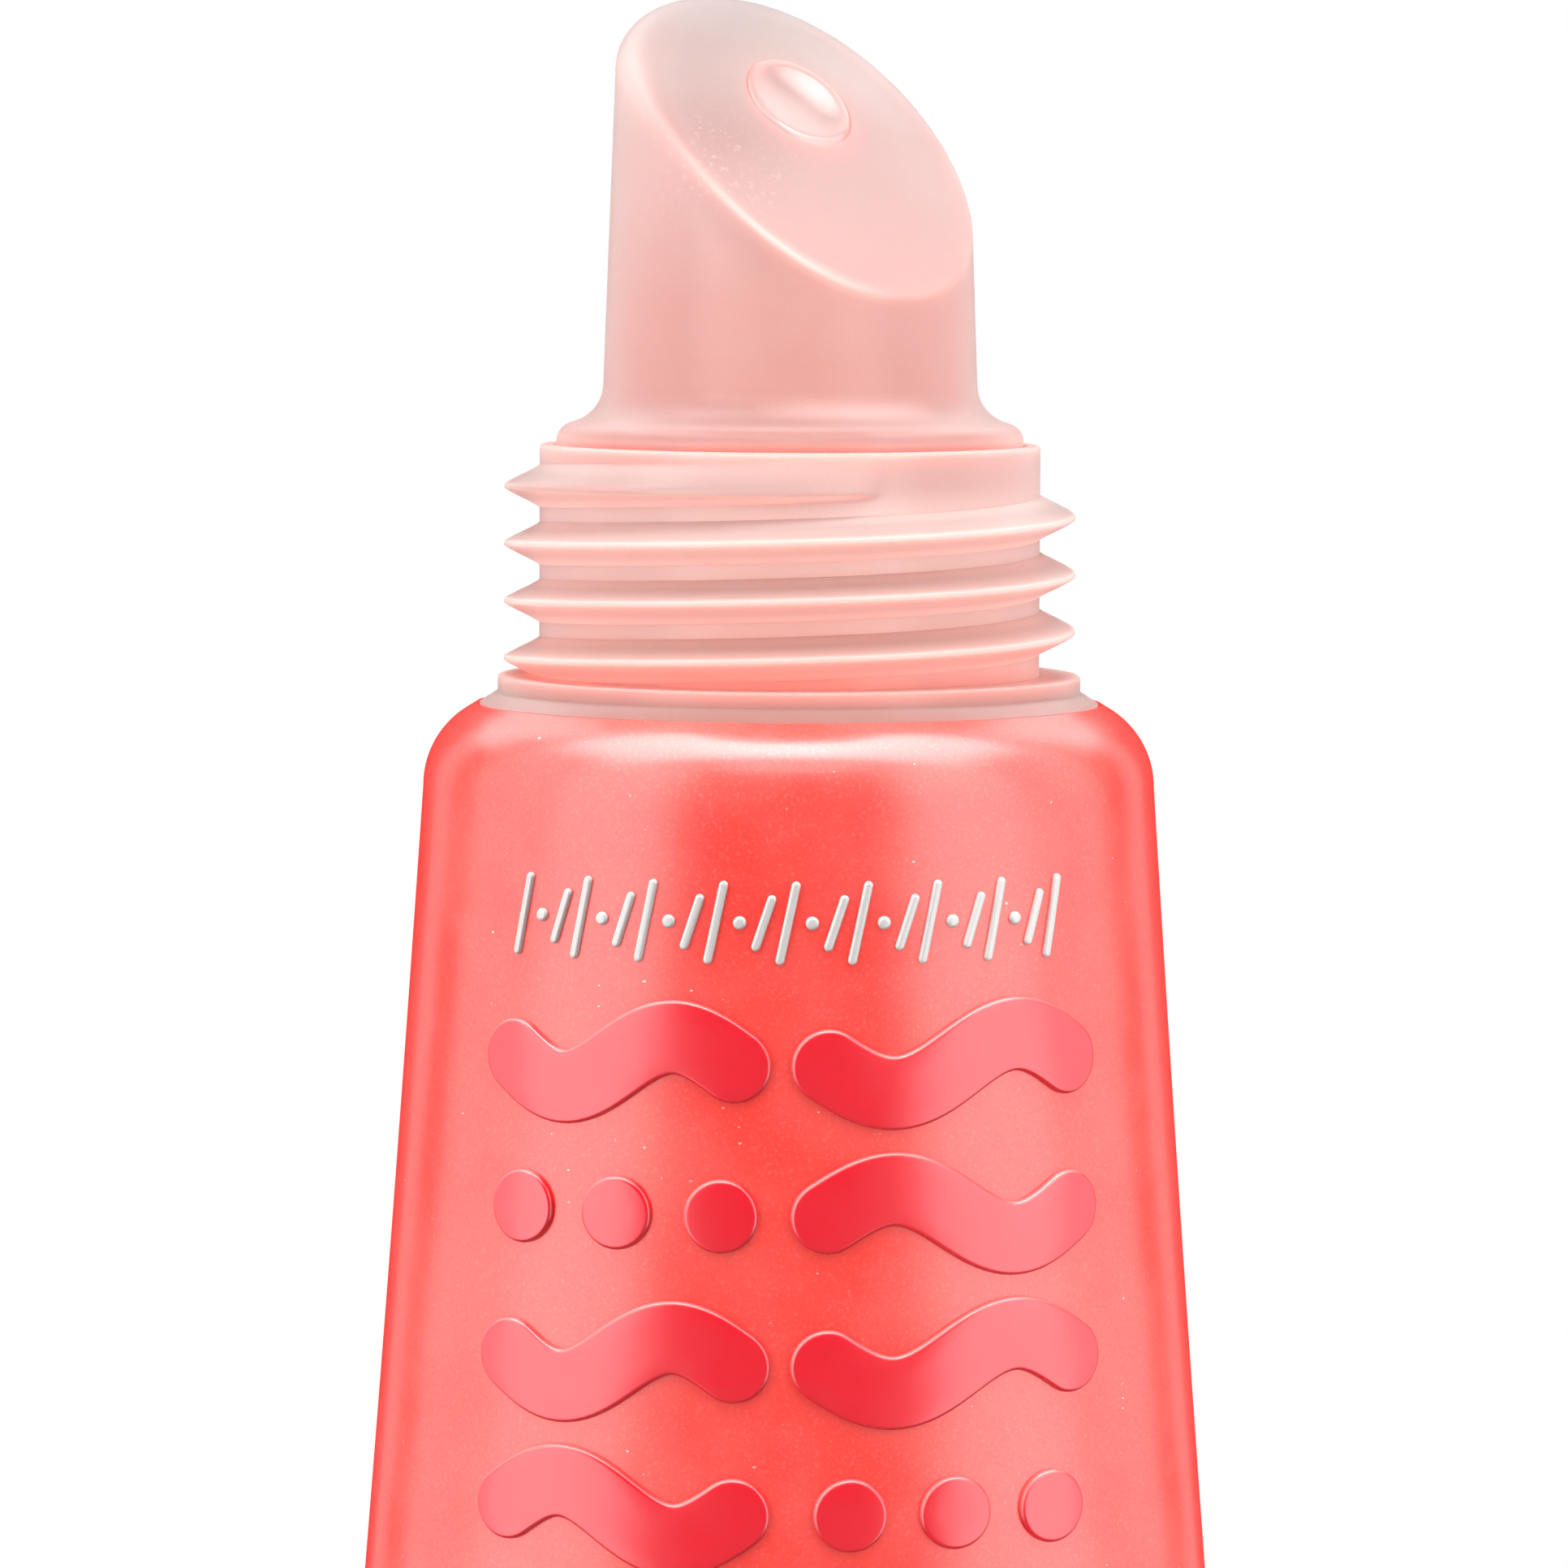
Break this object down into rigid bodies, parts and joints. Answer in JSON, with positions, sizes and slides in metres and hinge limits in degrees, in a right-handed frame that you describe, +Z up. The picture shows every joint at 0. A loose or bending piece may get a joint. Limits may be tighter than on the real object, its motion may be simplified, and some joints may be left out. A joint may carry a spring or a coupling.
{
  "type": "lip gloss tube",
  "caption": "Crimped squeeze tube of lip gloss with a threaded neck, a slanted pour-through applicator and a tall round screw cap drawn lifted off.",
  "frame": {"origin": "on the tube's axis, at the bottom edge of the crimp", "axes": "+Z up the tube to the applicator's tip, -Y out of the printed front, X along the flattened width"},
  "size_m": [0.03, 0.0192, 0.1244],
  "materials": {
    "sleeve": "pearly coral co-extruded polyethylene with fine glitter, satin varnish",
    "neck": "translucent natural polyethylene, pink from the gloss inside, as moulded",
    "applicator": "translucent natural soft polyethylene, fine moulded grain on the slanted face",
    "gloss": "clear sticky pink gel, wet shine",
    "cap": "polished coral red polypropylene",
    "insert": "white polypropylene, as moulded",
    "seal": "off-white foamed polyethylene washer"
  },
  "bodies": {
    "tube": {"tube_sleeve": "sleeve", "threaded_neck": "neck", "slant_applicator": "applicator", "gloss_fill": "gloss"},
    "seal": {"cap_seal": "seal"},
    "cap": {"cap_shell": "cap", "cap_insert": "insert"}
  },
  "joints": [
    {"name": "cap_advance", "type": "slide", "parent": "tube", "child": "seal", "axis": [0, 0, 1], "range_m": [-0.03, 0]},
    {"name": "cap_turn", "type": "hinge", "parent": "seal", "child": "cap", "pos_m": [0, 0, 0.1004], "axis": [0, 0, 1], "range_deg": [-7200, 0]}
  ],
  "couplings": [
    {"joint": "cap_advance", "follows": "cap_turn", "m_per_rad": 0.00023873}
  ]
}
